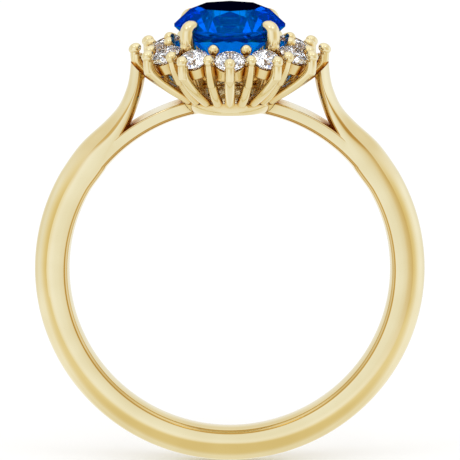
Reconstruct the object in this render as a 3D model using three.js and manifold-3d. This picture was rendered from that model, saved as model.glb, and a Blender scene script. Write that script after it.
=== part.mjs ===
// Cluster engagement ring: one round sapphire held by four claws, inside a halo of twelve
// round diamonds on a prong basket, carried by a cathedral shank. Units are millimetres.
//
// Frame: the origin is the centre of the finger hole. The finger runs along Y, +Z points from
// the finger to the sapphire, and the front of the ring faces -Y.
// Azimuths on the head are turned about Z, counted from the front.

import * as THREE from 'three';
import { mergeVertices } from 'three/addons/utils/BufferGeometryUtils.js';
import Module from 'manifold-3d';

const wasm = await Module();
wasm.setup();

// ---------------------------------------------------------------- driving dimensions

// Play between neighbouring pieces, as left by the setter's burr
const PLAY = 0.015;

// Shank: a D section with a comfort-fit bore, flat sides, a crease and a domed outside
const BORE_RADIUS = 8.66;
const BAND_RADIUS = 10.54;
const HALF_WIDTH = 1.0;
const CREASE_RADIUS_BOTTOM = 9.61;
const CREASE_RADIUS_SIDE = 9.91;
const BORE_RISE = 0.21;
const DOME_FULLNESS = 2.3;
const BRIDGE_RADIUS = 9.53;
const BRIDGE_HALF_WIDTH = 0.97;
const BRIDGE_EDGE = 0.1;
const BRIDGE_SPAN = 55;
const BRIDGE_STATION_ANGLE = 5;
const ARM_START = 60;
const ARM_TOP_HALF_WIDTH = 0.86;
const STATION_ANGLE = 6;

// Cathedral arm on the right, seen from the front as [x, z]: its inner edge, crease and outer edge
const ARM_INNER = [[6.62, 5.58], [5.86, 7.0], [5.28, 8.12], [4.84, 9.3], [4.62, 10.2], [4.5, 11.32]];
const ARM_CREASE = [[7.62, 6.42], [6.43, 7.7], [5.73, 8.7], [5.25, 9.65], [5.03, 10.42], [4.92, 11.36]];
const ARM_OUTER = [[8.05, 6.8], [6.76, 8.02], [6.02, 8.86], [5.6, 9.78], [5.42, 10.52], [5.34, 11.36]];
const ARM_STATIONS = 12;

// Points of the bore across the shank, as fractions of its half width
const BORE_ACROSS = [1, 0.5, 0, -0.5, -1];

// Centre stone
const SAPPHIRE_RADIUS = 3.0;
const SAPPHIRE_GIRDLE_Z = 13.32;

// Halo of tilted stones
const HALO_COUNT = 12;
const HALO_STEP = 360 / HALO_COUNT;
const DIAMOND_RADIUS = 0.83;
const HALO_RADIUS = 3.97;
const HALO_Z = 12.0;
const HALO_TILT = 29;

// Round brilliant proportions, as fractions of the diameter
const CROWN_HEIGHT = 0.158;
const PAVILION_DEPTH = 0.43;
const TABLE_WIDTH = 0.59;
const GIRDLE_THICKNESS = 0.028;
const STAR_LENGTH = 0.5;
const LOWER_HALF_LENGTH = 0.76;
const CULET_WIDTH = 0.012;

// Seat collar under each diamond, measured from the girdle along the stone's own axis
const COLLAR_OUTER = 0.86;
const COLLAR_INNER = 0.66;
const COLLAR_TOP = -0.16;
const COLLAR_BOTTOM = -0.8;

// Prongs: radius of the wire, and [distance from the axis, height] of tip, elbow, bend and foot
const WIRE = 0.29;
const OUTER_TIP = [5.1, 12.04];
const OUTER_ELBOW = [4.88, 11.24];
const OUTER_BEND = [4.2, 10.68];
const SHARED_TIP = [4.41, 12.08];
const SHARED_ELBOW = [3.62, 10.5];
const SHARED_BEND = [3.1, 9.96];
const FOOT = [2.5, 9.46];
const TIP_REACH = 0.36;
const TIP_WIDTH = 0.3;
const TIP_HEIGHT = 0.28;

// Inner beads that hold the halo from the sapphire's side
const BEAD_RADIUS = 0.31;
const BEAD_CENTRE = [3.36, 12.48];
const BEAD_STEM = 0.17;

// Claws of the centre stone
const CLAW_WIRE = 0.38;
const CLAW_AZIMUTHS = [45, 135, 225, 315];
const CLAW_PATH = [
  [2.0, 9.2], [2.55, 10.5], [3.0, 11.9], [3.22, 12.7], [3.25, 13.2], [3.13, 13.44], [2.9, 13.52],
];
const CLAW_TIP = [2.9, 13.52];
const CLAW_TIP_REACH = 0.46;
const CLAW_TIP_HEIGHT = 0.36;

// Halo rail: [distance from the axis, height] and wire radius
const HALO_RAIL = [3.4, 10.95];
const HALO_RAIL_WIRE = 0.18;

// Centre rail, a flat band
const CENTRE_RAIL_INNER = 1.94;
const CENTRE_RAIL_OUTER = 2.3;
const CENTRE_RAIL_BOTTOM = 10.14;
const CENTRE_RAIL_TOP = 10.86;

// Cup under the head, as [distance from the axis, height], and the flats on its front and back
const CUP_PROFILE = [
  [0, 8.71], [2.2, 8.71], [2.33, 8.8], [2.58, 9.1], [2.6, 9.24], [2.5, 9.38], [2.3, 9.42],
  [1.9, 9.22], [1.6, 9.06], [0, 9.06],
];
const CUP_FLAT = 2.42;
const CUP_NECK_RADIUS = 2.12;
const CUP_HOLLOW_RADIUS = 1.9;

// The basket's outside, which the arms stop at, as [distance from the axis, height]
const BASKET_PROFILE = [
  [0, 9.6], [3.0, 9.6], [3.84, 10.1], [4.4, 10.5], [5.0, 11.04], [5.2, 11.5], [5.3, 12.6], [0, 12.6],
];

// How finely round things are divided
const WIRE_SIDES = 8;
const BALL_SIDES = 8;
const ROUND_SIDES = 36;
const COLLAR_SIDES = 18;
const RAIL_SIDES = 6;
const CLAW_STEPS = 9;
const LEG_STEPS = 3;

// ---------------------------------------------------------------- materials

const gold = () => new THREE.MeshStandardMaterial({ color: 0xe4d29a, roughness: 0.16, metalness: 1.0 });
const sapphire = () => new THREE.MeshStandardMaterial({ color: 0x0a3fa6, roughness: 0.03, metalness: 0.0 });
const diamond = () => new THREE.MeshStandardMaterial({ color: 0xeef1f6, roughness: 0.02, metalness: 0.0 });

// ---------------------------------------------------------------- helpers

const radians = THREE.MathUtils.degToRad;
const steps = (count) => Array.from({ length: count }, (_, index) => index);

/** A point in the XZ plane, or in the front plane of an azimuth of the head. */
const onRight = ([distance, height], y = 0) => new THREE.Vector3(distance, y, height);

/** Turns geometry that was made on the +X side to an azimuth of the head. */
const turned = (geometry, azimuth) => geometry.rotateZ(radians(azimuth - 90));

/** A closed geometry as a solid that can be cut and joined. */
function solid(geometry) {
  const bare = geometry.index ? geometry.toNonIndexed() : geometry.clone();
  bare.deleteAttribute('normal');
  bare.deleteAttribute('uv');
  const welded = mergeVertices(bare, 1e-5);
  return new wasm.Manifold(new wasm.Mesh({
    numProp: 3,
    vertProperties: new Float32Array(welded.attributes.position.array),
    triVerts: new Uint32Array(welded.index.array),
  }));
}

/** A solid as geometry for a mesh. */
function geometryOf(body) {
  const { vertProperties, triVerts } = body.getMesh();
  const geometry = new THREE.BufferGeometry();
  geometry.setAttribute('position', new THREE.BufferAttribute(new Float32Array(vertProperties), 3));
  geometry.setIndex(new THREE.BufferAttribute(new Uint32Array(triVerts), 1));
  geometry.computeVertexNormals();
  return geometry;
}

/** A closed body through rings of points that all have the same count, with flat ends. */
function loft(rings) {
  const count = rings[0].length;
  const at = (ring, point) => ring * count + (point % count);
  const faces = [];
  for (let ring = 0; ring < rings.length - 1; ring++) {
    for (let point = 0; point < count; point++) {
      faces.push(at(ring, point), at(ring, point + 1), at(ring + 1, point + 1));
      faces.push(at(ring, point), at(ring + 1, point + 1), at(ring + 1, point));
    }
  }
  const last = rings.length - 1;
  for (let point = 1; point < count - 1; point++) {
    faces.push(at(0, 0), at(0, point + 1), at(0, point));
    faces.push(at(last, 0), at(last, point), at(last, point + 1));
  }
  const geometry = new THREE.BufferGeometry().setFromPoints(rings.flat());
  geometry.setIndex(faces);
  return geometry;
}

/** A round wire along a path. */
function wire(points, radius, segments) {
  const section = new THREE.Shape().absarc(0, 0, radius, 0, 2 * Math.PI, false);
  const path = points.length > 2 ? new THREE.CatmullRomCurve3(points) : new THREE.LineCurve3(...points);
  return solid(new THREE.ExtrudeGeometry(section, {
    steps: segments,
    curveSegments: WIRE_SIDES / 2,
    bevelEnabled: false,
    extrudePath: path,
  }));
}

/** An ellipsoid, long along X. */
function ball(centre, reach, width, height) {
  const geometry = new THREE.SphereGeometry(1, BALL_SIDES, BALL_SIDES / 2 + 1);
  return solid(geometry.scale(reach, width, height).translate(centre.x, centre.y, centre.z));
}

/** A body turned about Z from [distance, height] points. LatheGeometry turns about Y. */
function turnedProfile(profile, sides = ROUND_SIDES) {
  const points = profile.map(([distance, height]) => new THREE.Vector2(distance, height));
  return new THREE.LatheGeometry(points, sides).rotateX(Math.PI / 2);
}

const union = (bodies) => bodies.reduce((total, body) => total.add(body));

// ---------------------------------------------------------------- stones

/** The corners of a round brilliant on +Z, with its girdle's middle at the origin. */
function brilliant(radius) {
  const diameter = 2 * radius;
  const half = (GIRDLE_THICKNESS * diameter) / 2;
  const table = (TABLE_WIDTH * diameter) / 2;
  const crown = CROWN_HEIGHT * diameter;
  const depth = PAVILION_DEPTH * diameter;
  const culet = CULET_WIDTH * radius;
  const eighth = Math.PI / 4;
  const corner = (distance, turn, height) =>
    new THREE.Vector3(distance * Math.cos(turn), distance * Math.sin(turn), height);

  // The corners between main facets lie on the main facets' own planes
  const lean = Math.cos(eighth / 2);
  const star = THREE.MathUtils.lerp(table * lean, radius, STAR_LENGTH);
  const starHeight = half + (crown * (radius - star * lean)) / (radius - table);
  const lower = radius * (1 - LOWER_HALF_LENGTH);
  const lowerHeight = -half - depth * (1 - (lower * lean - culet) / (radius - culet));

  const faces = [];
  const facet = (...corners) => {
    for (let i = 1; i < corners.length - 1; i++) faces.push(corners[0], corners[i], corners[i + 1]);
  };
  const rim = (step, height) => corner(radius, (step * eighth) / 2, height);
  facet(...steps(8).map((k) => corner(table, k * eighth, half + crown)));
  facet(...steps(8).map((k) => corner(culet, -k * eighth, -half - depth)));
  for (const k of steps(8)) {
    const turn = k * eighth;
    const between = turn + eighth / 2;
    const starHere = corner(star, between, starHeight);
    const starBefore = corner(star, between - eighth, starHeight);
    const lowerHere = corner(lower, between, lowerHeight);
    const lowerBefore = corner(lower, between - eighth, lowerHeight);
    const tableHere = corner(table, turn, half + crown);
    const tableNext = corner(table, turn + eighth, half + crown);
    facet(tableHere, starHere, tableNext);
    facet(tableHere, starBefore, rim(2 * k, half), starHere);
    facet(starHere, rim(2 * k, half), rim(2 * k + 1, half));
    facet(starHere, rim(2 * k + 1, half), rim(2 * k + 2, half));
    for (const step of [2 * k, 2 * k + 1]) {
      facet(rim(step, half), rim(step, -half), rim(step + 1, -half), rim(step + 1, half));
    }
    facet(lowerHere, rim(2 * k + 1, -half), rim(2 * k, -half));
    facet(lowerHere, rim(2 * k + 2, -half), rim(2 * k + 1, -half));
    const culetHere = corner(culet, turn, -half - depth);
    const culetNext = corner(culet, turn + eighth, -half - depth);
    facet(culetHere, lowerHere, rim(2 * k, -half), lowerBefore);
    facet(culetHere, culetNext, lowerHere);
  }
  return new THREE.BufferGeometry().setFromPoints(faces);
}

/** Moves geometry from a stone's own axis to a halo stone on the +X side. */
function toHalo(geometry) {
  return geometry.rotateY(radians(HALO_TILT)).translate(HALO_RADIUS, 0, HALO_Z);
}

/** The room a stone needs in the metal around it. */
const stoneRoom = (radius) => brilliant(radius + PLAY).scale(1, 1, 1 + PLAY / radius);

// ---------------------------------------------------------------- shank

/** How far the comfort-fit bore opens up from its middle line (0) to its edges (1 and -1). */
const boreRise = (across) => BORE_RISE * across * across;

/** Section of the shank: over the outside from front to back, and back along the bore. */
function shankRing(inner, crease, outer, halfWidth) {
  const along = outer.clone().sub(inner);
  const thickness = along.length();
  along.normalize();
  const side = crease.clone().sub(inner).dot(along);
  const at = (y, height) => inner.clone().addScaledVector(along, height).setY(y);
  const dome = steps(9).map((k) => {
    const across = -1 + k / 4;
    const rise = 1 - Math.abs(across) ** DOME_FULLNESS;
    return at(across * halfWidth, side + (thickness - side) * rise);
  });
  const bore = BORE_ACROSS.map((across) => at(across * halfWidth, boreRise(across)));
  return [...dome, ...bore];
}

/** A point of the band, at an angle from straight down towards +X. */
function onBand(radius, angle) {
  return new THREE.Vector3(radius * Math.sin(radians(angle)), 0, -radius * Math.cos(radians(angle)));
}

/** Stations of the right half, from the bottom of the band to the top of the arm. */
function shankStations() {
  const stations = [];
  const end = 180 - ARM_START;
  for (let angle = 0; angle <= end; angle += STATION_ANGLE) {
    const climb = Math.min(angle / 90, 1);
    const crease = THREE.MathUtils.lerp(CREASE_RADIUS_BOTTOM, CREASE_RADIUS_SIDE, climb);
    stations.push([onBand(BORE_RADIUS, angle), onBand(crease, angle), onBand(BAND_RADIUS, angle), HALF_WIDTH]);
  }
  const [inner, crease, outer] = [
    [onBand(BORE_RADIUS, end), ARM_INNER],
    [onBand(CREASE_RADIUS_SIDE, end), ARM_CREASE],
    [onBand(BAND_RADIUS, end), ARM_OUTER],
  ].map(([start, points]) => new THREE.CatmullRomCurve3([start, ...points.map((point) => onRight(point))]));
  for (const k of steps(ARM_STATIONS)) {
    const t = (k + 1) / ARM_STATIONS;
    const halfWidth = THREE.MathUtils.lerp(HALF_WIDTH, ARM_TOP_HALF_WIDTH, t * t);
    stations.push([inner.getPoint(t), crease.getPoint(t), outer.getPoint(t), halfWidth]);
  }
  return stations;
}

/** The band and its two arms in one sweep. */
function bandAndArms() {
  const right = shankStations();
  const mirrored = (point) => new THREE.Vector3(-point.x, point.y, point.z);
  const left = right.slice(1).reverse().map(([a, b, c, width]) => [mirrored(a), mirrored(b), mirrored(c), width]);
  return solid(loft([...left, ...right].map((station) => shankRing(...station))));
}

/** The bridge that closes the finger hole under the head. */
function bridge() {
  const rings = [];
  const halfWidth = BRIDGE_HALF_WIDTH;
  const corners = [
    [-halfWidth, BRIDGE_RADIUS - BRIDGE_EDGE], [-halfWidth + BRIDGE_EDGE, BRIDGE_RADIUS],
    [halfWidth - BRIDGE_EDGE, BRIDGE_RADIUS], [halfWidth, BRIDGE_RADIUS - BRIDGE_EDGE],
    ...BORE_ACROSS.map((across) => [across * halfWidth, BORE_RADIUS + boreRise(across)]),
  ];
  for (let angle = -BRIDGE_SPAN; angle <= BRIDGE_SPAN; angle += BRIDGE_STATION_ANGLE) {
    rings.push(corners.map(([y, radius]) => onBand(radius, 180 + angle).setY(y)));
  }
  return solid(loft(rings));
}

// ---------------------------------------------------------------- head

/** An upright round column about the head's axis. */
function column(radius) {
  return solid(new THREE.CylinderGeometry(radius, radius, 4, ROUND_SIDES).rotateX(Math.PI / 2).translate(0, 0, 9));
}

/** The cup alone, grown by a little where it cuts room for itself. */
function cup(grow = 0) {
  const profile = CUP_PROFILE.map(([distance, height]) => [distance > 0 ? distance + grow : 0, height]);
  const flats = new THREE.BoxGeometry(8, 2 * (CUP_FLAT + grow), 4).translate(0, 0, 9);
  return solid(turnedProfile(profile)).intersect(solid(flats));
}

/** Cup with the middle of the bridge, which it is soldered over. */
function headBase() {
  const below = new THREE.BoxGeometry(8, 8, 4).translate(0, 0, 7.06);
  return cup().add(bridge().intersect(column(CUP_NECK_RADIUS)).intersect(solid(below)));
}

/** Wire with a reaching tip: up from the foot along a bend to the elbow, and on to the tip. */
function prong([tip, elbow, bend], grow = 0) {
  const parts = [
    wire([onRight(FOOT), onRight(bend), onRight(elbow)], WIRE + grow, LEG_STEPS),
    wire([onRight(elbow), onRight(tip)], WIRE + grow, 1),
    ball(onRight(elbow), WIRE + grow, WIRE + grow, WIRE + grow),
    ball(onRight(tip), TIP_REACH + grow, TIP_WIDTH + grow, TIP_HEIGHT + grow),
  ];
  return union(parts);
}

/** The tilted collar that a diamond sits in. */
function collar(grow = 0) {
  const outer = COLLAR_OUTER + grow;
  const inner = COLLAR_INNER;
  const profile = [
    [inner - 0.08, COLLAR_BOTTOM - grow], [outer - 0.08, COLLAR_BOTTOM - grow],
    [outer, COLLAR_TOP + grow], [inner + 0.06, COLLAR_TOP + grow], [inner - 0.08, COLLAR_BOTTOM - grow],
  ];
  return solid(toHalo(turnedProfile(profile, COLLAR_SIDES)));
}

/** A whole seat: collar, outer prong and its leg. */
const seat = (grow = 0) => collar(grow).add(prong([OUTER_TIP, OUTER_ELBOW, OUTER_BEND], grow));

/** A prong between two diamonds. */
const sharedProng = (grow = 0) => prong([SHARED_TIP, SHARED_ELBOW, SHARED_BEND], grow);

/** Everything inside the basket, where there is no arm. */
const basketRoom = () => solid(turnedProfile(BASKET_PROFILE));

/** The round rail under the halo. */
function haloRail(grow = 0) {
  const [distance, height] = HALO_RAIL;
  const wireRadius = HALO_RAIL_WIRE + grow;
  return solid(new THREE.TorusGeometry(distance, wireRadius, RAIL_SIDES, ROUND_SIDES).translate(0, 0, height));
}

/** The flat rail that the claws stand around. */
function centreRail(grow = 0) {
  const height = CENTRE_RAIL_TOP - CENTRE_RAIL_BOTTOM;
  const middle = (CENTRE_RAIL_TOP + CENTRE_RAIL_BOTTOM) / 2;
  const drum = (radius, length) => solid(
    new THREE.CylinderGeometry(radius, radius, length, ROUND_SIDES).rotateX(Math.PI / 2).translate(0, 0, middle),
  );
  return drum(CENTRE_RAIL_OUTER + grow, height + 2 * grow).subtract(drum(CENTRE_RAIL_INNER - grow, 2 * height));
}

/** Claw: a bent wire with a tip that lies on the crown, and the bead on its back. */
function claw(grow = 0) {
  const parts = [
    wire(CLAW_PATH.map((point) => onRight(point)), CLAW_WIRE + grow, CLAW_STEPS),
    ball(onRight(CLAW_TIP), CLAW_TIP_REACH + grow, CLAW_WIRE + grow, CLAW_TIP_HEIGHT + grow),
    ball(onRight(BEAD_CENTRE), BEAD_RADIUS + grow, BEAD_RADIUS + grow, BEAD_RADIUS + grow),
  ];
  return union(parts);
}

/** Bead on a stem that stands on the halo rail. */
function innerBead() {
  const foot = [BEAD_CENTRE[0], HALO_RAIL[1]];
  return wire([onRight(foot), onRight(BEAD_CENTRE)], BEAD_STEM, 1)
    .add(ball(onRight(BEAD_CENTRE), BEAD_RADIUS, BEAD_RADIUS, BEAD_RADIUS));
}

// ---------------------------------------------------------------- assembly

const ring = new THREE.Group();

/** Adds one named mesh, turned about the head's axis. */
function place(name, geometry, material, azimuth = 90) {
  const mesh = new THREE.Mesh(geometry, material);
  mesh.name = name;
  mesh.rotation.z = radians(azimuth - 90);
  ring.add(mesh);
}

/** The same solid at an azimuth, for cutting. */
const cutter = (body, azimuth) => solid(turned(geometryOf(body), azimuth));

const azimuths = steps(HALO_COUNT).map((k) => k * HALO_STEP);
const between = azimuths.map((azimuth) => azimuth + HALO_STEP / 2);
const diamondRoom = solid(toHalo(stoneRoom(DIAMOND_RADIUS)));
const sapphireRoom = solid(stoneRoom(SAPPHIRE_RADIUS).translate(0, 0, SAPPHIRE_GIRDLE_Z));
const besideRooms = [90 - HALO_STEP / 2, 90 + HALO_STEP / 2].map((azimuth) => cutter(diamondRoom, azimuth));
const besideCollars = [90 - HALO_STEP / 2, 90 + HALO_STEP / 2].map((azimuth) => cutter(collar(PLAY), azimuth));
const cupRoom = cup(PLAY).add(column(CUP_HOLLOW_RADIUS));
const centreRailRoom = centreRail(PLAY);
const haloRailRoom = haloRail(PLAY);

// The shank gives way to the cup and to the legs and seats that stand in it
const grownSeat = seat(PLAY);
const grownShared = sharedProng(PLAY);
let shank = bandAndArms().subtract(basketRoom()).add(bridge())
  .subtract(column(CUP_NECK_RADIUS + PLAY)).subtract(cup(PLAY));
for (const side of [90, 270]) {
  for (const offset of [-HALO_STEP, 0, HALO_STEP]) shank = shank.subtract(cutter(grownSeat, side + offset));
  for (const offset of [-HALO_STEP / 2, HALO_STEP / 2]) shank = shank.subtract(cutter(grownShared, side + offset));
}
place('shank', geometryOf(shank), gold());
place('head_base', geometryOf(headBase()), gold());

place('sapphire', brilliant(SAPPHIRE_RADIUS).translate(0, 0, SAPPHIRE_GIRDLE_Z), sapphire());
azimuths.forEach((azimuth, k) => {
  place(`diamond_${k + 1}`, toHalo(brilliant(DIAMOND_RADIUS)), diamond(), azimuth);
});

const seatBody = seat().subtract(diamondRoom).subtract(cupRoom).subtract(haloRailRoom);
azimuths.forEach((azimuth, k) => place(`seat_${k + 1}`, geometryOf(seatBody), gold(), azimuth));

const sharedBody = [...besideRooms, ...besideCollars, cupRoom, haloRailRoom]
  .reduce((body, room) => body.subtract(room), sharedProng());
between.forEach((azimuth, k) => place(`shared_prong_${k + 1}`, geometryOf(sharedBody), gold(), azimuth));

const clawRooms = [sapphireRoom, ...besideRooms, ...besideCollars, cupRoom, centreRailRoom, haloRailRoom];
const clawBody = [...clawRooms, grownShared]
  .reduce((body, room) => body.subtract(room), claw());
CLAW_AZIMUTHS.forEach((azimuth, k) => place(`claw_${k + 1}`, geometryOf(clawBody), gold(), azimuth));

const beadBody = [...besideRooms, ...besideCollars, haloRailRoom]
  .reduce((body, room) => body.subtract(room), innerBead());
between.filter((azimuth) => !CLAW_AZIMUTHS.includes(azimuth)).forEach((azimuth, k) => {
  place(`inner_bead_${k + 1}`, geometryOf(beadBody), gold(), azimuth);
});

place('centre_rail', geometryOf(centreRail()), gold());
place('halo_rail', geometryOf(haloRail()), gold());

export default ring;
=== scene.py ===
"""Looks of a cluster engagement ring: pale yellow gold, a round sapphire and a halo of twelve diamonds.

Lengths are millimetres until a mesh is placed, and metres from there on. The finger runs along Y, +Z
points from the finger to the sapphire, and the front of the ring faces -Y. A repeated piece is made once
on the +X side, in the XZ plane, and turned about Z to its azimuth, counted from the front.
"""

import math

import bmesh
import bpy
import numpy as np
from mathutils import Matrix, Vector


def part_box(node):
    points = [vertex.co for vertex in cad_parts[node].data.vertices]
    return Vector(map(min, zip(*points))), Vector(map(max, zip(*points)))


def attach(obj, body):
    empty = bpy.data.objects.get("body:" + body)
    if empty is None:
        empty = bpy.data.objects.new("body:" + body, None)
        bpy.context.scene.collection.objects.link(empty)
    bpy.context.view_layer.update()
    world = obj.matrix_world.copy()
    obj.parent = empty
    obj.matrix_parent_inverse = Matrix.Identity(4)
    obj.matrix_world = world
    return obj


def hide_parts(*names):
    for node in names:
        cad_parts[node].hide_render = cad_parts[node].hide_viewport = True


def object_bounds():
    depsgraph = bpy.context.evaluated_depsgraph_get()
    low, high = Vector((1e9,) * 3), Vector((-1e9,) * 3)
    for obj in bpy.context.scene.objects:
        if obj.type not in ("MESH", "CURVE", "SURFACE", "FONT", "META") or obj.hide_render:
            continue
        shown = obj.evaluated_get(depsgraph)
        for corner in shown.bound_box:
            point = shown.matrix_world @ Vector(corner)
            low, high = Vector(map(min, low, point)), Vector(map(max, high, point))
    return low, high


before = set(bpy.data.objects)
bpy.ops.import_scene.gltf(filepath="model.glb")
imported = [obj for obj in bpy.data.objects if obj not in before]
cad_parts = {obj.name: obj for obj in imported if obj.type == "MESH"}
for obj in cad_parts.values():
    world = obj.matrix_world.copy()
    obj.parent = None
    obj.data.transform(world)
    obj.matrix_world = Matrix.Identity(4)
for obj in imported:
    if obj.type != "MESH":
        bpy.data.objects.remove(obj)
cad_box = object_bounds()

MM = 0.001

# ---------------------------------------------------------------- sizes and places from the frame

shank_low, shank_high = (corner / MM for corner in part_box("shank"))
sapphire_low, sapphire_high = (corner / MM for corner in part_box("sapphire"))

BAND_RADIUS = -shank_low.z
HALF_WIDTH = shank_high.y
SAPPHIRE_RADIUS = (sapphire_high.x - sapphire_low.x) / 2

# ---------------------------------------------------------------- driving dimensions

# Shank: comfort-fit bore, side, crease and dome
BORE_RADIUS = 8.66
BORE_RISE = 0.21
CREASE_RADIUS_BOTTOM = 9.61
CREASE_RADIUS_SIDE = 9.91
EDGE_ROUNDING = 0.13
SIDE_FALL = 0.09
SIDE_FALL_INSIDE = 0.03
DOME_FULLNESS = 2.3
EDGE_TURN = [22, 85]
STATION_ANGLE = 2
ARM_START = 60
ARM_TOP_HALF_WIDTH = 0.86
BRIDGE_RADIUS = 9.53
BRIDGE_HALF_WIDTH = 0.97
BRIDGE_EDGE = 0.1
BRIDGE_EDGE_TURN = [15, 90]
BRIDGE_SPAN = 55

# Cathedral arm on the right, as [x, z]: its inner edge, crease and outer edge
ARM_INNER = [[6.62, 5.58], [5.86, 7.0], [5.28, 8.12], [4.84, 9.3], [4.62, 10.2], [4.5, 11.32]]
ARM_CREASE = [[7.62, 6.42], [6.43, 7.7], [5.73, 8.7], [5.25, 9.65], [5.03, 10.42], [4.92, 11.36]]
ARM_OUTER = [[8.05, 6.8], [6.76, 8.02], [6.02, 8.86], [5.6, 9.78], [5.42, 10.52], [5.34, 11.36]]

# Halo of tilted stones
HALO_COUNT = 12
HALO_STEP = 360 / HALO_COUNT
DIAMOND_RADIUS = 0.83
HALO_RADIUS = 3.97
HALO_Z = 12.0
HALO_TILT = 29

# Round brilliant proportions, as fractions of the radius
CROWN_HEIGHT = 0.316
PAVILION_DEPTH = 0.86
TABLE = 0.59
HALF_GIRDLE = 0.028
STAR_LENGTH = 0.5
LOWER_HALF_LENGTH = 0.76
CULET = 0.012

# Seat collar under each diamond, as [distance from the stone's axis, height above its girdle]
COLLAR_PROFILE = [
    [0.58, -0.8], [0.76, -0.8], [0.79, -0.77], [0.85, -0.22], [0.86, -0.18], [0.84, -0.16],
    [0.74, -0.16], [0.71, -0.19],
]

# Prongs: a leg, and a thinner rod in front of its top, each a path as [distance from the axis, height]
LEG_WIRE = 0.285
ROD_WIRE = 0.245
FOOT = [2.5, 9.46]
OUTER_LEG = [FOOT, [3.74, 10.2], [4.56, 10.82], [4.95, 11.26], [5.02, 11.75]]
OUTER_ROD = [[5.06, 11.16], [5.11, 11.56], [5.12, 12.04]]
SHARED_LEG = [FOOT, [3.1, 9.98], [3.68, 10.7], [4.02, 11.25], [4.26, 11.85]]
SHARED_ROD = [[3.84, 10.68], [4.08, 11.12], [4.26, 11.5], [4.45, 12.08]]
TIP_REACH = 0.36
TIP_WIDTH = 0.3
TIP_HEIGHT = 0.28

# Inner beads that hold the halo from the sapphire's side
BEAD_RADIUS = 0.31
BEAD_CENTRE = [3.36, 12.48]
BEAD_STEM = 0.17

# Claws of the centre stone
CLAW_WIRE = 0.39
CLAW_AZIMUTHS = [45, 135, 225, 315]
CLAW_PATH = [
    [2.0, 9.2], [2.55, 10.5], [3.0, 11.9], [3.22, 12.7], [3.25, 13.2], [3.13, 13.44], [2.9, 13.52],
]
CLAW_TIP = [2.9, 13.52]
CLAW_TIP_REACH = 0.46
CLAW_TIP_HEIGHT = 0.36

# Halo rail: [distance from the axis, height] and wire radius
HALO_RAIL = [3.4, 10.95]
HALO_RAIL_WIRE = 0.18

# Centre rail: a flat band with round ribs on its outside
CENTRE_RAIL_INNER = 1.94
CENTRE_RAIL_OUTER = 2.3
CENTRE_RAIL_BOTTOM = 10.14
CENTRE_RAIL_TOP = 10.86
CENTRE_RAIL_RIBS = 3

# Cup under the head, as [distance from the axis, height], and the flats on its front and back
CUP_FLOOR = 9.06
CUP_PROFILE = [
    [0.01, 8.71], [2.2, 8.71], [2.33, 8.8], [2.47, 8.94], [2.58, 9.1], [2.61, 9.18], [2.6, 9.26],
    [2.56, 9.33], [2.5, 9.38], [2.4, 9.42], [2.3, 9.42], [1.9, 9.22], [1.6, CUP_FLOOR], [0.01, CUP_FLOOR],
]
CUP_FLAT = 2.42
CUP_NECK_RADIUS = 2.12

# Outside of the basket, which the arms stop at, as [distance from the axis, height]
BASKET_PROFILE = [
    [0.01, 9.7], [2.6, 9.27], [3.84, 10.04], [4.64, 10.62], [5.05, 11.0], [5.42, 11.4], [5.6, 12.6],
    [0.01, 12.6],
]

# Open middle of the head, where the feet of the prongs end
HEAD_OPENING = 1.9

# Room between a prong and a stone
PLAY = 0.015

# Cutting bodies: how far and from where to where they reach
SLAB_REACH = 4
SLAB_HEIGHTS = [7, 11]
NECK_HEIGHTS = [6.0, 11.0]

# How finely round things are divided
WIRE_SIDES = 28
BALL_SIDES = 32
ROUND_SIDES = 144
COLLAR_SIDES = 72
GIRDLE_SIDES = 96
PATH_STEPS = 10
BORE_STEPS = 9
BRIDGE_BORE_STEPS = 8
EDGE_STEPS = 6
SIDE_STEPS = 12
DOME_STEPS = 20
RIB_POINTS = 12
SHARP_ANGLE = math.radians(16)

# Stage, in metres and degrees: camera, floor, and soft boxes as (name, azimuth, elevation, watts)
CAMERA_DISTANCE = 0.9
CAMERA_ELEVATION = 10
CAMERA_AIM = (0.00001, 0, 0.002086)
VIEW_WIDTH = 0.024865
FLOOR_REACH = 1.5
SOFT_BOXES = (("left_box", -35, 50, 0.012), ("right_box", 30, 55, 0.01))
SOFT_BOX_DISTANCE = 0.25
SOFT_BOX_SIZE = 0.05

# Gold's painted shade: how far a gap and a recess reach, in metres, and the heights between which the painted
# crease line turns from the band's amber to the arms' brown
GAP_REACH = 0.00045
RECESS_REACH = 0.0012
ARM_CREASE_HEIGHTS = (0.004, 0.0075)

Y_AXIS = np.array([0.0, 1.0, 0.0])

# ---------------------------------------------------------------- mesh helpers


def plane_point(point):
    """A point of the XZ plane."""
    return np.array([point[0], 0.0, point[1]], float)


def body(vertices, faces):
    """A mesh in millimetres with its faces pointing out."""
    mesh = bpy.data.meshes.new("body")
    mesh.from_pydata([tuple(vertex) for vertex in vertices], [], faces)
    shape = bmesh.new()
    shape.from_mesh(mesh)
    bmesh.ops.recalc_face_normals(shape, faces=shape.faces)
    shape.to_mesh(mesh)
    shape.free()
    return mesh


def loft(rings, closed=False):
    """A body through rings of points that all have the same count, with flat ends unless it closes."""
    count, sides = len(rings), len(rings[0])
    faces = []
    for ring in range(count if closed else count - 1):
        near, far = ring * sides, (ring + 1) % count * sides
        for side in range(sides):
            after = (side + 1) % sides
            faces.append((near + side, near + after, far + after, far + side))
    if not closed:
        faces.append(tuple(range(sides)))
        faces.append(tuple((count - 1) * sides + side for side in range(sides)))
    return body(np.concatenate(rings), faces)


def circle(sides):
    """Angles around a full turn."""
    return np.arange(sides) * 2 * math.pi / sides


def turned_loop(profile, sides):
    """A ring turned about Z from a closed [distance, height] outline."""
    distance, height = np.array(profile, float).T
    return loft([
        np.stack([distance * math.cos(turn), distance * math.sin(turn), height], axis=1)
        for turn in circle(sides)
    ], closed=True)


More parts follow.
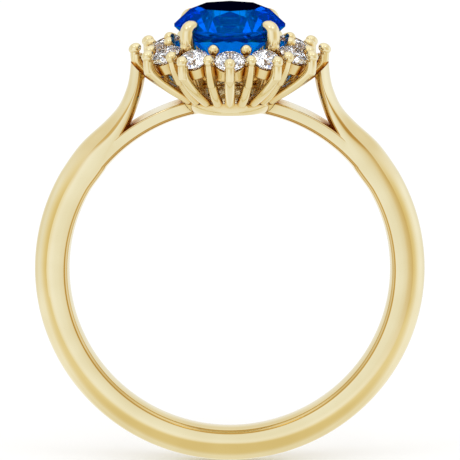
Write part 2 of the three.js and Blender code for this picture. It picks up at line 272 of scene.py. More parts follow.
def turned_column(profile, sides):
    """A solid turned about Z from [distance, height] points that run from one flat end to the other."""
    turn = circle(sides)
    return loft([
        np.stack([distance * np.cos(turn), distance * np.sin(turn), np.full(sides, height)], axis=1)
        for distance, height in profile
    ])


def smooth_path(points, count=PATH_STEPS):
    """A Catmull-Rom curve through points of any dimension, with count steps between neighbours."""
    points = np.array(points, float)
    padded = np.vstack([2 * points[0] - points[1], points, 2 * points[-1] - points[-2]])
    curve = []
    for a, b, c, d in zip(padded, padded[1:], padded[2:], padded[3:]):
        for step in range(count):
            t = step / count
            curve.append(0.5 * (
                2 * b + (c - a) * t + (2 * a - 5 * b + 4 * c - d) * t**2 + (3 * b - a - 3 * c + d) * t**3
            ))
    curve.append(points[-1])
    return np.array(curve)


def wire(path, radius):
    """A round wire along a smooth path in the XZ plane."""
    points = np.array([plane_point(point) for point in smooth_path(path)])
    along = np.gradient(points, axis=0)
    along /= np.linalg.norm(along, axis=1)[:, None]
    turn = circle(WIRE_SIDES)[:, None]
    rings = []
    for point, (x, _, z) in zip(points, along):
        across = np.array([-z, 0.0, x])
        rings.append(point + radius * (np.cos(turn) * across + np.sin(turn) * Y_AXIS))
    return loft(rings)


def ball(centre, reach, width, height, lean=0.0):
    """An ellipsoid in the XZ plane, with its reach leaning down from +X."""
    shape = bmesh.new()
    stretch = (
        Matrix.Translation(plane_point(centre))
        @ Matrix.Rotation(math.radians(lean), 4, "Y")
        @ Matrix.Diagonal((reach, width, height, 1))
    )
    bmesh.ops.create_uvsphere(
        shape, u_segments=BALL_SIDES, v_segments=BALL_SIDES // 2, radius=1, matrix=stretch
    )
    mesh = bpy.data.meshes.new("ball")
    shape.to_mesh(mesh)
    shape.free()
    return mesh


def block(low, high):
    """A plain block between two corners, for cutting."""
    shape = bmesh.new()
    centre, size = (Vector(low) + Vector(high)) / 2, Vector(high) - Vector(low)
    bmesh.ops.create_cube(shape, size=1, matrix=Matrix.Translation(centre) @ Matrix.Diagonal((*size, 1)))
    mesh = bpy.data.meshes.new("block")
    shape.to_mesh(mesh)
    shape.free()
    return mesh


def moved(mesh, matrix):
    """A copy of a mesh, moved."""
    copy = mesh.copy()
    copy.transform(matrix)
    return copy


def combined(operation, first, *others):
    """One body from several: UNION, DIFFERENCE or INTERSECT."""
    collection = bpy.context.scene.collection
    holders = [bpy.data.objects.new("holder", mesh) for mesh in (first, *others)]
    for holder in holders:
        collection.objects.link(holder)
    for other in holders[1:]:
        modifier = holders[0].modifiers.new(operation, "BOOLEAN")
        modifier.operation = operation
        modifier.object = other
        modifier.solver = "MANIFOLD"
    bpy.context.view_layer.update()
    evaluated = holders[0].evaluated_get(bpy.context.evaluated_depsgraph_get())
    result = bpy.data.meshes.new_from_object(evaluated)
    for holder in holders:
        bpy.data.objects.remove(holder)
    return result


def union(*bodies):
    return combined("UNION", *bodies)


def cut(first, *others):
    return combined("DIFFERENCE", first, *others)


def turn_to(azimuth):
    """Turns what was made on the +X side to an azimuth of the head."""
    return Matrix.Rotation(math.radians(azimuth - 90), 4, "Z")


def place(mesh, node, materials, azimuth=90.0, faceted=False):
    """Puts a body in the scene as the piece that stands for a CAD node.

    A cut body has an empty material slot. Clearing the slots resets which finish a face has, so that is kept.
    """
    mesh = moved(mesh, Matrix.Scale(MM, 4) @ turn_to(azimuth))
    mesh.name = f"{node}_looks"
    finishes = [min(face.material_index, len(materials) - 1) for face in mesh.polygons]
    mesh.materials.clear()
    for material in materials:
        mesh.materials.append(material)
    mesh.polygons.foreach_set("material_index", finishes)
    if faceted:
        mesh.shade_flat()
    else:
        mesh.shade_smooth()
        mesh.set_sharp_from_angle(angle=SHARP_ANGLE)
    piece = bpy.data.objects.new(f"{node}_looks", mesh)
    bpy.context.scene.collection.objects.link(piece)
    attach(piece, "root")
    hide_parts(node)


def place_around(mesh, kind, materials, azimuths, faceted=False):
    """Puts a body at each of several azimuths of the head, numbered from 1."""
    for k, azimuth in enumerate(azimuths):
        place(mesh, f"{kind}_{k + 1}", materials, azimuth, faceted)


# ---------------------------------------------------------------- material helpers


class Nodes:
    """A short way to write a node tree."""

    def __init__(self, tree):
        self.tree = tree
        tree.nodes.clear()

    def add(self, kind, settings=None, **inputs):
        """Adds a node.

        An input is named like its socket or, as _0 or _1, by its number. It gets a value or another node's
        output.
        """
        node = self.tree.nodes.new(kind)
        for key, value in (settings or {}).items():
            setattr(node, key, value)
        for key, value in inputs.items():
            name = int(key[1:]) if key[1:].isdigit() else key.replace("_", " ")
            socket = node.inputs[name]
            if isinstance(value, bpy.types.NodeSocket):
                self.tree.links.new(value, socket)
            else:
                socket.default_value = value
        return node

    def ramp(self, factor, stops, interpolation="EASE"):
        """A colour ramp from (position, colour) stops."""
        node = self.add("ShaderNodeValToRGB", Fac=factor)
        elements = node.color_ramp.elements
        node.color_ramp.interpolation = interpolation
        for element, (position, colour) in zip(elements, (stops[0], stops[-1])):
            element.position = position
            element.color = (*colour, 1)
        for position, colour in stops[1:-1]:
            elements.new(position).color = (*colour, 1)
        return node.outputs["Color"]

    def mix(self, factor, first, second, blend="MIX"):
        """Two colours mixed."""
        settings = {"data_type": "RGBA", "blend_type": blend}
        node = self.add("ShaderNodeMix", settings, _0=factor)
        for socket, value in ((node.inputs[6], first), (node.inputs[7], second)):
            if isinstance(value, bpy.types.NodeSocket):
                self.tree.links.new(value, socket)
            else:
                socket.default_value = (*value, 1)
        return node.outputs[2]


def new_material(name):
    """An empty material and its nodes."""
    material = bpy.data.materials.new(name)
    material.use_nodes = True
    return material, Nodes(material.node_tree)


def gold_material(name, with_painted_lines=False):
    """Polished pale gold, with painted shade that makes it darker and warmer in the gaps and recesses, and
    less polished there.

    With its second argument set it also has painted dark reflection lines along the shank's crease and along
    the edges of the bore, set by the way the surface faces.
    """
    material, nodes = new_material(name)
    plain = (1.0, 1.0, 1.0)
    point = nodes.add("ShaderNodeTexCoord").outputs["Object"]
    drift = nodes.add("ShaderNodeTexNoise", Vector=point, Scale=420.0, Detail=2.0).outputs["Fac"]
    marks = nodes.add(
        "ShaderNodeTexNoise", Vector=point, Scale=9000.0, Detail=4.0, Roughness=0.65
    ).outputs["Fac"]
    colour = nodes.ramp(drift, [(0.3, (0.84, 0.755, 0.49)), (0.7, (0.875, 0.80, 0.545))])
    # Painted shade: narrow gaps are darkened and browned by ambient occlusion, standing in for shade and
    # gold-on-gold reflection there.
    gap = nodes.add("ShaderNodeAmbientOcclusion", {"samples": 6}, Distance=GAP_REACH).outputs["AO"]
    recess = nodes.add("ShaderNodeAmbientOcclusion", {"samples": 4}, Distance=RECESS_REACH).outputs["AO"]
    painted_gap_shade = nodes.ramp(gap, [(0.1, (0.74, 0.56, 0.3)), (0.5, (0.88, 0.74, 0.5)), (0.9, plain)], "LINEAR")
    colour = nodes.mix(1.0, colour, painted_gap_shade, "MULTIPLY")
    # Painted shade: deeper recesses are turned warm amber by ambient occlusion, standing in for light
    # reflected from gold to gold.
    painted_recess_shade = nodes.ramp(
        recess, [(0.15, (0.95, 0.66, 0.26)), (0.5, (0.98, 0.85, 0.58)), (0.8, plain)], "LINEAR"
    )
    colour = nodes.mix(1.0, colour, painted_recess_shade, "MULTIPLY")
    # Painted reflection: amber and brown lines where the surface turns nearly sideways, along the band's and
    # the arms' crease, standing in for the dark reflections there.
    if with_painted_lines:
        normal = nodes.add("ShaderNodeNewGeometry").outputs["Normal"]
        parts = nodes.add("ShaderNodeSeparateXYZ", Vector=normal)
        sideways = nodes.add("ShaderNodeMath", {"operation": "ABSOLUTE"}, _0=parts.outputs["Y"]).outputs[0]
        amber, brown, ochre = (0.88, 0.78, 0.52), (0.7, 0.5, 0.22), (0.74, 0.56, 0.26)
        painted_band_crease_line = nodes.ramp(sideways, [(0.76, plain), (0.87, amber), (0.95, amber), (0.99, plain)])
        painted_arm_crease_line = nodes.ramp(sideways, [(0.84, plain), (0.92, brown), (0.96, brown), (0.985, plain)])
        low, high = ARM_CREASE_HEIGHTS
        rise = nodes.add("ShaderNodeSeparateXYZ", Vector=point).outputs["Z"]
        on_arm = nodes.add("ShaderNodeMapRange", Value=rise, From_Min=low, From_Max=high).outputs["Result"]
        crease = nodes.mix(on_arm, painted_band_crease_line, painted_arm_crease_line)
        colour = nodes.mix(1.0, colour, crease, "MULTIPLY")
        # Painted reflection: an ochre line on surfaces that face partly inward, along the rounded edges of
        # the bore.
        flat = nodes.add("ShaderNodeVectorMath", {"operation": "MULTIPLY"}, _0=point, _1=(1, 0, 1)).outputs[0]
        outward = nodes.add("ShaderNodeVectorMath", {"operation": "NORMALIZE"}, _0=flat).outputs[0]
        turned = nodes.add(
            "ShaderNodeVectorMath", {"operation": "DOT_PRODUCT"}, _0=normal, _1=outward
        ).outputs["Value"]
        inward = nodes.add("ShaderNodeMapRange", Value=turned, From_Min=-1.0, From_Max=1.0).outputs["Result"]
        edge = nodes.ramp(inward, [(0.05, plain), (0.12, ochre), (0.33, ochre), (0.45, plain)])
        colour = nodes.mix(1.0, colour, edge, "MULTIPLY")
    polish = nodes.add("ShaderNodeMapRange", Value=marks, To_Min=0.09, To_Max=0.17).outputs["Result"]
    roughness = nodes.add(
        "ShaderNodeMapRange", Value=recess, From_Min=0.2, From_Max=0.6, To_Min=0.45, To_Max=polish
    ).outputs["Result"]
    bump = nodes.add("ShaderNodeBump", Height=marks, Strength=0.03, Distance=0.000004).outputs["Normal"]
    shader = nodes.add(
        "ShaderNodeBsdfPrincipled", Metallic=1.0, Base_Color=colour, Roughness=roughness, Normal=bump
    )
    nodes.add("ShaderNodeOutputMaterial", Surface=shader.outputs["BSDF"])
    return material


def stone_material(
    name, light, dark, zoning, ior, clear, absorption=None, density=0.0, roughness=0.0, glancing=False
):
    """A clear stone with a drift of colour and a little haze.

    It absorbs light inside where absorption is given. With glancing it turns to a plain mirror at low angles.
    """
    material, nodes = new_material(name)
    point = nodes.add("ShaderNodeTexCoord").outputs["Object"]
    zones = nodes.add("ShaderNodeTexNoise", Vector=point, Scale=zoning, Detail=3.0).outputs["Fac"]
    haze_colour = nodes.ramp(zones, [(0.35, dark), (0.65, light)])
    dark_tint, light_tint = ([part ** 0.25 for part in colour] for colour in (dark, light))
    tint = nodes.ramp(zones, [(0.35, dark_tint), (0.65, light_tint)])
    haze = nodes.add("ShaderNodeBsdfDiffuse", Color=haze_colour).outputs["BSDF"]
    glass = nodes.add("ShaderNodeBsdfGlass", Color=tint, Roughness=roughness, IOR=ior).outputs["BSDF"]
    surface = nodes.add("ShaderNodeMixShader", _0=clear, _1=haze, _2=glass).outputs["Shader"]
    if glancing:
        facing = nodes.add("ShaderNodeLayerWeight", Blend=0.5).outputs["Facing"]
        facing = nodes.ramp(facing, [(0.5, (0, 0, 0)), (0.8, (1, 1, 1))])
        mirror = nodes.add("ShaderNodeBsdfGlossy", Color=(0.9, 0.95, 1.0, 1), Roughness=0.0).outputs["BSDF"]
        surface = nodes.add("ShaderNodeMixShader", _0=facing, _1=surface, _2=mirror).outputs["Shader"]
    output = nodes.add("ShaderNodeOutputMaterial", Surface=surface)
    if absorption:
        volume = nodes.add("ShaderNodeVolumeAbsorption", Color=(*absorption, 1), Density=density)
        nodes.tree.links.new(volume.outputs["Volume"], output.inputs["Volume"])
    return material


# ---------------------------------------------------------------- stones


def brilliant():
    """A round brilliant of radius 1 on +Z, with its girdle's middle at the origin, cut facet by facet.

    Its faces have finish 1 on the girdle, 2 on the table and 0 elsewhere.
    """
    eighth = math.pi / 4
    lean = math.cos(eighth / 2)

    def corner(distance, turn, height):
        return Vector((distance * math.cos(turn), distance * math.sin(turn), height))

    table_z, culet_z = HALF_GIRDLE + CROWN_HEIGHT, -HALF_GIRDLE - PAVILION_DEPTH
    star = TABLE * lean + (1 - TABLE * lean) * STAR_LENGTH
    star_z = HALF_GIRDLE + CROWN_HEIGHT * (1 - star * lean) / (1 - TABLE)
    lower = 1 - LOWER_HALF_LENGTH
    lower_z = -HALF_GIRDLE - PAVILION_DEPTH * (1 - (lower * lean - CULET) / (1 - CULET))

    shape = bmesh.new()
    bmesh.ops.create_cone(
        shape, cap_ends=True, segments=GIRDLE_SIDES, radius1=1, radius2=1, depth=table_z - culet_z,
        matrix=Matrix.Translation((0, 0, (table_z + culet_z) / 2)),
    )

    def facet(a, b, c):
        normal = (b - a).cross(c - a).normalized()
        if normal.dot(a) < 0:
            normal.negate()
        everything = shape.verts[:] + shape.edges[:] + shape.faces[:]
        made = bmesh.ops.bisect_plane(
            shape, geom=everything, dist=1e-6, plane_co=a, plane_no=normal, clear_outer=True
        )
        edges = [part for part in made["geom_cut"] if isinstance(part, bmesh.types.BMEdge)]
        rim = [edge for edge in edges if edge.is_boundary]
        if rim:
            bmesh.ops.edgeloop_fill(shape, edges=rim)

    for k in range(8):
        turn = k * eighth
        after, between = turn + eighth, turn + eighth / 2
        across = Vector((-math.sin(turn), math.cos(turn), 0))
        above, below = corner(1, turn, HALF_GIRDLE), corner(1, turn, -HALF_GIRDLE)
        star_tip, lower_tip = corner(star, between, star_z), corner(lower, between, lower_z)
        facet(corner(TABLE, turn, table_z), above, above + across)
        facet(corner(CULET, turn, culet_z), below, below + across)
        facet(corner(TABLE, turn, table_z), corner(TABLE, after, table_z), star_tip)
        for near in (turn, after):
            facet(star_tip, corner(1, near, HALF_GIRDLE), corner(1, between, HALF_GIRDLE))
            facet(lower_tip, corner(1, near, -HALF_GIRDLE), corner(1, between, -HALF_GIRDLE))
    for face in shape.faces:
        face.material_index = 1 if abs(face.normal.z) < 0.02 else 2 if face.normal.z > 0.98 else 0
    bmesh.ops.recalc_face_normals(shape, faces=shape.faces)
    mesh = bpy.data.meshes.new("brilliant")
    shape.to_mesh(mesh)
    shape.free()
    return mesh


def to_halo(radius):
    """Moves a stone of radius 1, or its collar, to a halo stone's place on the +X side."""
    return (
        Matrix.Translation(plane_point([HALO_RADIUS, HALO_Z]))
        @ Matrix.Rotation(math.radians(HALO_TILT), 4, "Y")
        @ Matrix.Scale(radius, 4)
    )


# ---------------------------------------------------------------- shank


def bore_rise(across):
    """How far the bore opens up from its middle line (0) to its edges (1 and -1)."""
    return BORE_RISE * across**2


def bore_edge(side, edge, turns):
    """The rounded edge between the bore and a side, as [y, height]."""
    start, end = turns
    arc = [math.radians(start + (end - start) * k / EDGE_STEPS) for k in range(EDGE_STEPS + 1)]
    return [
        [side + EDGE_ROUNDING * (1 - math.sin(turn)), edge + EDGE_ROUNDING * (1 - math.cos(turn))]
        for turn in arc
    ]


def half_section(side, thickness, half_width):
    """The front half of a shank section as [y, height], from the bore's middle to the dome's middle."""
    points = [[-half_width * k / BORE_STEPS, bore_rise(k / BORE_STEPS)] for k in range(BORE_STEPS - 1)]
    edge = bore_rise(1.0)
    points += bore_edge(-half_width + SIDE_FALL_INSIDE, edge, EDGE_TURN)
    start = edge + EDGE_ROUNDING
    for k in range(1, SIDE_STEPS + 1):
        climb = k / SIDE_STEPS
        fall = SIDE_FALL * climb**3 + SIDE_FALL_INSIDE * (1 - climb)**3
        points.append([-half_width + fall, start + (side - start) * climb])
    reach = half_width - SIDE_FALL
    for k in range(1, DOME_STEPS + 1):
        across = 1 - k / DOME_STEPS
        points.append([-reach * across, side + (thickness - side) * (1 - across**DOME_FULLNESS)])
    return points


def shank_ring(inner, crease, outer, half_width):
    """A whole section of the shank between its inner and outer edge in the XZ plane."""
    along = outer - inner
    thickness = np.linalg.norm(along)
    along = along / thickness
    side = float(np.dot(crease - inner, along))
    front = half_section(side, thickness, half_width)
    outline = front + [[-y, height] for y, height in reversed(front[1:-1])]
    return np.array([inner + along * height + Y_AXIS * y for y, height in outline])


def on_band(radius, angle):
    """A point of the band, at an angle from straight down towards +X."""
    turn = math.radians(angle)
    return np.array([radius * math.sin(turn), 0.0, -radius * math.cos(turn)])


def arm_line(radius, points):
    """An edge of the arm from where it leaves the band, running on smoothly from the band's curve."""
    start = 180 - ARM_START
    before = [on_band(radius, start - back) for back in (12, 6, 0)]
    return smooth_path(before + [plane_point(point) for point in points])[2 * PATH_STEPS + 1:]


def band_and_arms():
    """The band and its two arms in one sweep."""
    stations = []
    for angle in range(0, 180 - ARM_START + 1, STATION_ANGLE):
        climb = min(angle / 90, 1)
        crease = CREASE_RADIUS_BOTTOM + (CREASE_RADIUS_SIDE - CREASE_RADIUS_BOTTOM) * climb
        points = (on_band(radius, angle) for radius in (BORE_RADIUS, crease, BAND_RADIUS))
        stations.append([*points, HALF_WIDTH])
    lines = [
        arm_line(BORE_RADIUS, ARM_INNER),
        arm_line(CREASE_RADIUS_SIDE, ARM_CREASE),
        arm_line(BAND_RADIUS, ARM_OUTER),
    ]
    for k, points in enumerate(zip(*lines)):
        climb = (k + 1) / len(lines[0])
        stations.append([*points, HALF_WIDTH + (ARM_TOP_HALF_WIDTH - HALF_WIDTH) * climb**2])
    right = [shank_ring(*station) for station in stations]
    left = [ring * [-1, 1, 1] for ring in reversed(right[1:])]
    return loft(left + right)


def bridge():
    """The bridge that closes the finger hole under the head."""
    half = [
        [-BRIDGE_HALF_WIDTH * k / BRIDGE_BORE_STEPS, BORE_RADIUS + bore_rise(k / BRIDGE_BORE_STEPS)]
        for k in range(BRIDGE_BORE_STEPS)
    ]
    half += bore_edge(-BRIDGE_HALF_WIDTH, BORE_RADIUS + bore_rise(1), BRIDGE_EDGE_TURN)
    for k in range(EDGE_STEPS + 1):
        turn = math.radians(90 * k / EDGE_STEPS)
        half.append([
            -BRIDGE_HALF_WIDTH + BRIDGE_EDGE * (1 - math.cos(turn)),
            BRIDGE_RADIUS - BRIDGE_EDGE * (1 - math.sin(turn)),
        ])
    half.append([0, BRIDGE_RADIUS])
    outline = half + [[-y, radius] for y, radius in reversed(half[1:-1])]
    return loft([
        np.array([on_band(radius, 180 + angle) + Y_AXIS * y for y, radius in outline])
        for angle in np.linspace(-BRIDGE_SPAN, BRIDGE_SPAN, 2 * BRIDGE_SPAN // STATION_ANGLE + 1)
    ])


def neck(radius):
    """An upright column about the head's axis, for cutting."""
    return turned_column([[radius, height] for height in NECK_HEIGHTS], ROUND_SIDES)


def slab(depth, low, high):
    """A block about the head's axis that reaches a depth to the front and back, for cutting."""
    return block((-SLAB_REACH, -depth, low), (SLAB_REACH, depth, high))


def cup(grow=0.0):
    """The cup, with flats on its front and back."""
    profile = [[distance + (grow if distance > 1 else 0), height] for distance, height in CUP_PROFILE]
    return combined("INTERSECT", turned_column(profile, ROUND_SIDES), slab(CUP_FLAT + grow, *SLAB_HEIGHTS))


def shank():
    """Band, arms and bridge, with room for the cup."""
    arms = cut(band_and_arms(), turned_column(BASKET_PROFILE, ROUND_SIDES))
    return cut(union(arms, bridge()), neck(CUP_NECK_RADIUS + PLAY), cup(PLAY))


def head_base():
    """Cup with the middle of the bridge, which it is soldered over."""
    under_floor = slab(SLAB_REACH, SLAB_HEIGHTS[0], CUP_FLOOR)
    middle = combined("INTERSECT", bridge(), neck(CUP_NECK_RADIUS), under_floor)
    return union(cup(), middle)


# ---------------------------------------------------------------- head


def prong(leg, rod, lean):
    """A leg with a round-ended rod in front of it, and a rounded tip that reaches over the stone."""
    end = ball(rod[0], ROD_WIRE, ROD_WIRE, ROD_WIRE)
    tip = ball(rod[-1], TIP_REACH, TIP_WIDTH, TIP_HEIGHT, lean)
    return union(wire(leg, LEG_WIRE), wire(rod, ROD_WIRE), end, tip)


def seat(stone_room):
    """A tilted collar with its outer prong and leg."""
    collar = moved(turned_loop(COLLAR_PROFILE, COLLAR_SIDES), to_halo(1))
    whole = union(collar, prong(OUTER_LEG, OUTER_ROD, HALO_TILT))
    return cut(whole, stone_room, neck(HEAD_OPENING))


def shared_prong(rooms):
    """A prong between two diamonds."""
    return cut(prong(SHARED_LEG, SHARED_ROD, HALO_TILT), *rooms, neck(HEAD_OPENING))


def claw(rooms):
    """A bent wire with a tip that lies on the crown, and the bead on its back."""
    tip = ball(CLAW_TIP, CLAW_TIP_REACH, CLAW_WIRE, CLAW_TIP_HEIGHT)
    bead = ball(BEAD_CENTRE, BEAD_RADIUS, BEAD_RADIUS, BEAD_RADIUS)
    return cut(union(wire(CLAW_PATH, CLAW_WIRE), tip, bead), *rooms)


def inner_bead(rooms):
    """A bead on a stem that stands on the halo rail."""
    stem = wire([[BEAD_CENTRE[0], HALO_RAIL[1]], BEAD_CENTRE], BEAD_STEM)
    return cut(union(stem, ball(BEAD_CENTRE, BEAD_RADIUS, BEAD_RADIUS, BEAD_RADIUS)), *rooms)


def halo_rail():
    """The round rail under the halo."""
    turn = circle(WIRE_SIDES)
    distance, height = HALO_RAIL
    across, up = HALO_RAIL_WIRE * np.cos(turn), HALO_RAIL_WIRE * np.sin(turn)
    return turned_loop(np.stack([distance + across, height + up], axis=1), ROUND_SIDES)


def centre_rail():
    """The ribbed rail that the claws stand around."""
    rib = (CENTRE_RAIL_TOP - CENTRE_RAIL_BOTTOM) / CENTRE_RAIL_RIBS / 2
    outline = [[CENTRE_RAIL_INNER, CENTRE_RAIL_TOP], [CENTRE_RAIL_INNER, CENTRE_RAIL_BOTTOM]]
    for k in range(CENTRE_RAIL_RIBS):
        middle = CENTRE_RAIL_BOTTOM + rib * (2 * k + 1)
        for turn in np.linspace(-math.pi / 2, math.pi / 2, RIB_POINTS)[0 if k == 0 else 1:]:
            outline.append([CENTRE_RAIL_OUTER - rib * (1 - math.cos(turn)), middle + rib * math.sin(turn)])
    return turned_loop(outline, ROUND_SIDES)


# ---------------------------------------------------------------- stage


def set_camera():
    """A long lens in front of the ring, ten degrees up."""
    elevation = math.radians(CAMERA_ELEVATION)
    back = Vector((0, -math.cos(elevation), math.sin(elevation)))
    data = bpy.data.cameras.new("camera")
    data.sensor_width = 36
    data.lens = data.sensor_width * CAMERA_DISTANCE / VIEW_WIDTH
    data.clip_start = 0.01
    camera = bpy.data.objects.new("camera", data)
    camera.location = Vector(CAMERA_AIM) + back * CAMERA_DISTANCE
    camera.rotation_euler = back.to_track_quat("Z", "Y").to_euler()
    bpy.context.scene.collection.objects.link(camera)
    bpy.context.scene.camera = camera


def set_floor():
    """A plain pale floor under the band, which no metal or stone mirrors."""
    far, z = FLOOR_REACH, cad_box[0][2]
    mesh = bpy.data.meshes.new("floor")
    mesh.from_pydata([(-far, -far, z), (far, -far, z), (far, far, z), (-far, far, z)], [], [(0, 1, 2, 3)])
    material, nodes = new_material("pale_floor")
    shader = nodes.add("ShaderNodeBsdfDiffuse", Color=(0.93, 0.93, 0.93, 1))
    nodes.add("ShaderNodeOutputMaterial", Surface=shader.outputs["BSDF"])
    mesh.materials.append(material)
    floor = bpy.data.objects.new("floor", mesh)
    floor.visible_glossy = False
    floor.visible_transmission = False
    floor.visible_shadow = False
    bpy.context.scene.collection.objects.link(floor)


def set_world():
    """A white studio that shows warm soft reflectors to the gold, and bright and dark ones to the stones."""
    world = bpy.data.worlds.new("studio")
    bpy.context.scene.world = world
    world.use_nodes = True
    nodes = Nodes(world.node_tree)
    ray = nodes.add("ShaderNodeLightPath")
    outward = nodes.add("ShaderNodeTexCoord").outputs["Generated"]
    direction = nodes.add("ShaderNodeSeparateXYZ", Vector=outward)
    x, y, z = (direction.outputs[axis] for axis in "XYZ")
    front = nodes.add("ShaderNodeMath", {"operation": "MULTIPLY"}, _0=y, _1=-1.0).outputs[0]
    turn = nodes.add("ShaderNodeMath", {"operation": "ARCTAN2"}, _0=x, _1=front).outputs[0]
    around = nodes.add(
        "ShaderNodeMapRange", Value=turn, From_Min=-math.pi, From_Max=math.pi
    ).outputs["Result"]
    height = nodes.add("ShaderNodeMapRange", Value=z, From_Min=-1.0, From_Max=1.0).outputs["Result"]

    def at(azimuth):
        """Where an azimuth, counted from the front, lies on a ramp around the ring."""
        return 0.5 + azimuth / 360

    white, ivory, amber, brown = (1.04, 1.05, 1.1), (0.93, 0.92, 0.9), (0.9, 0.8, 0.55), (0.78, 0.64, 0.38)
    sides = nodes.ramp(around, [
        (at(-180), ivory), (at(-125), (0.88, 0.83, 0.72)), (at(-95), ivory), (at(-68), amber),
        (at(-30), white), (at(0), (0.95, 0.94, 0.9)), (at(9), (0.9, 0.86, 0.76)), (at(22), brown),
        (at(42), brown), (at(62), amber), (at(95), white), (at(140), ivory), (at(180), ivory),
    ])
    heights = nodes.ramp(height, [
        (0.0, (0.9, 0.85, 0.72)), (0.1, (0.9, 0.84, 0.7)), (0.2, (1.0, 0.98, 0.95)), (0.42, (1, 1, 1)),
        (0.62, (1, 1, 1)), (0.8, (0.86, 0.78, 0.62)), (0.92, (1.05, 1.03, 0.98)), (1.0, (1.1, 1.08, 1.03)),
    ])
    level = nodes.ramp(height, [(0.28, (0, 0, 0)), (0.42, (1, 1, 1)), (0.6, (1, 1, 1)), (0.8, (0, 0, 0))])
    metal_sides = nodes.mix(level, (1, 1, 1), sides)
    metal = nodes.mix(1.0, heights, metal_sides, "MULTIPLY")

    dark, grey, soft, bright = (0.6, 0.62, 0.68), (1.1, 1.14, 1.22), (1.4, 1.44, 1.52), (2.7, 2.8, 2.95)
    stones = nodes.ramp(around, [
        (at(-180), soft), (at(-150), soft), (at(-125), dark), (at(-100), bright), (at(-60), bright),
        (at(-42), grey), (at(-20), bright), (at(0), dark), (at(20), bright), (at(60), bright),
        (at(78), grey), (at(100), bright), (at(125), dark), (at(150), soft), (at(180), soft),
    ])
    stone_heights = nodes.ramp(height, [
        (0.0, (0.7, 0.7, 0.7)), (0.5, (1.0, 1.0, 1.0)), (0.72, (1.0, 1.0, 1.0)), (0.82, (0.2, 0.2, 0.21)),
        (0.9, (1.0, 1.0, 1.0)), (1.0, (0.9, 0.9, 0.9)),
    ])
    stone = nodes.mix(1.0, stones, stone_heights, "MULTIPLY")
    mirrored_heights = nodes.ramp(height, [
        (0.0, (0.0, 0.02, 0.06)), (0.45, (0.0, 0.0, 0.004)), (0.78, (0.0, 0.0, 0.004)),
        (0.88, (0.5, 0.5, 0.5)), (0.93, (0.3, 0.3, 0.3)),
    ])
    mirrored = nodes.mix(1.0, stone, mirrored_heights, "MULTIPLY")

    colour = nodes.mix(ray.outputs["Is Glossy Ray"], (1.12, 1.12, 1.12), metal)
    colour = nodes.mix(ray.outputs["Is Singular Ray"], colour, mirrored)
    colour = nodes.mix(ray.outputs["Is Transmission Ray"], colour, stone)
    background = nodes.add("ShaderNodeBackground", Color=colour, Strength=1.0)
    nodes.add("ShaderNodeOutputWorld", Surface=background.outputs["Background"])
    world.cycles.sampling_method = "NONE"


def set_lights():
    """Two small soft boxes above the front, for the bright points on the tips."""
    for name, azimuth, elevation, power in SOFT_BOXES:
        turn, climb = math.radians(azimuth), math.radians(elevation)
        level = math.cos(climb)
        away = Vector((math.sin(turn) * level, -math.cos(turn) * level, math.sin(climb)))
        data = bpy.data.lights.new(name, "AREA")
        data.shape = "DISK"
        data.size = SOFT_BOX_SIZE
        data.energy = power
        data.cycles.cast_shadow = False
        light = bpy.data.objects.new(name, data)
        light.location = away * SOFT_BOX_DISTANCE
        light.rotation_euler = away.to_track_quat("Z", "Y").to_euler()
        bpy.context.scene.collection.objects.link(light)


# ---------------------------------------------------------------- assembly

set_camera()
set_floor()
set_world()
set_lights()

scene = bpy.context.scene
scene.view_settings.view_transform = "Standard"
scene.cycles.use_denoising = True
scene.cycles.max_bounces = 24
scene.cycles.glossy_bounces = 16
scene.cycles.transmission_bounces = 16

gold = gold_material("polished_gold")
# The shank's gold has painted reflection lines along its crease and the edges of its bore.
gold_with_reflection_lines = gold_material("gold_with_reflection_lines", with_painted_lines=True)
corundum = dict(zoning=700.0, ior=1.77, absorption=(0.0, 0.8, 0.93), density=380.0)
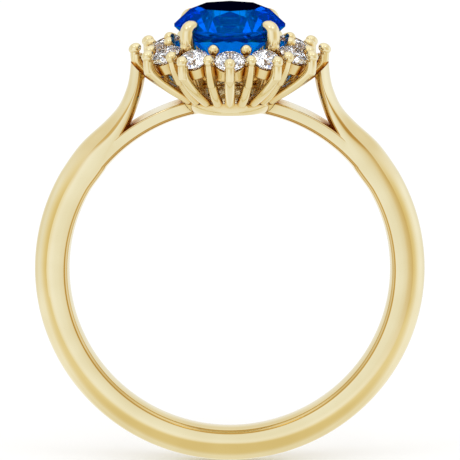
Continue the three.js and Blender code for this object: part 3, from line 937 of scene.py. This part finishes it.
# Painted shade: the table facets get darker blues than the rest of the stone, standing in for the dark it
# shows from above.
royal_blue, painted_dark_table_blues = ((0.0, 0.115, 0.9), (0.0, 0.075, 0.72)), ((0.0, 0.085, 0.66), (0.0, 0.06, 0.5))
sapphire = stone_material("sapphire", *royal_blue, clear=0.82, **corundum)
sapphire_table_painted_dark = stone_material("sapphire_table_painted_dark", *painted_dark_table_blues, clear=1.0, glancing=True, **corundum)
sapphire_girdle = stone_material("sapphire_girdle", *royal_blue, clear=0.8, roughness=0.3, **corundum)
white = dict(light=(0.98, 0.985, 0.99), dark=(0.94, 0.95, 0.96), ior=2.417)
diamond = stone_material("diamond", zoning=1800.0, clear=0.95, **white)
diamond_girdle = stone_material("diamond_girdle", zoning=9000.0, clear=0.9, roughness=0.3, **white)

cut_stone = brilliant()
halo_azimuths = [k * HALO_STEP for k in range(HALO_COUNT)]
between_azimuths = [azimuth + HALO_STEP / 2 for azimuth in halo_azimuths]
bead_azimuths = [azimuth for azimuth in between_azimuths if azimuth not in CLAW_AZIMUTHS]

girdle_z = sapphire_low.z + SAPPHIRE_RADIUS * (PAVILION_DEPTH + HALF_GIRDLE)
to_centre = Matrix.Translation((0, 0, girdle_z))
place(
    moved(cut_stone, to_centre @ Matrix.Scale(SAPPHIRE_RADIUS, 4)), "sapphire",
    [sapphire, sapphire_girdle, sapphire_table_painted_dark], faceted=True,
)
halo_stone = moved(cut_stone, to_halo(DIAMOND_RADIUS))
diamond_finishes = [diamond, diamond_girdle, diamond]
place_around(halo_stone, "diamond", diamond_finishes, halo_azimuths, faceted=True)

diamond_room = moved(cut_stone, to_halo(DIAMOND_RADIUS + PLAY))
sapphire_room = moved(cut_stone, to_centre @ Matrix.Scale(SAPPHIRE_RADIUS + PLAY, 4))
half_step = math.radians(HALO_STEP / 2)
beside_rooms = [moved(diamond_room, Matrix.Rotation(turn, 4, "Z")) for turn in (-half_step, half_step)]

place(shank(), "shank", [gold_with_reflection_lines])
place(head_base(), "head_base", [gold])
place_around(seat(diamond_room), "seat", [gold], halo_azimuths)
place_around(shared_prong(beside_rooms), "shared_prong", [gold], between_azimuths)
place_around(claw([sapphire_room, *beside_rooms]), "claw", [gold], CLAW_AZIMUTHS)
place_around(inner_bead(beside_rooms), "inner_bead", [gold], bead_azimuths)
place(centre_rail(), "centre_rail", [gold])
place(halo_rail(), "halo_rail", [gold])
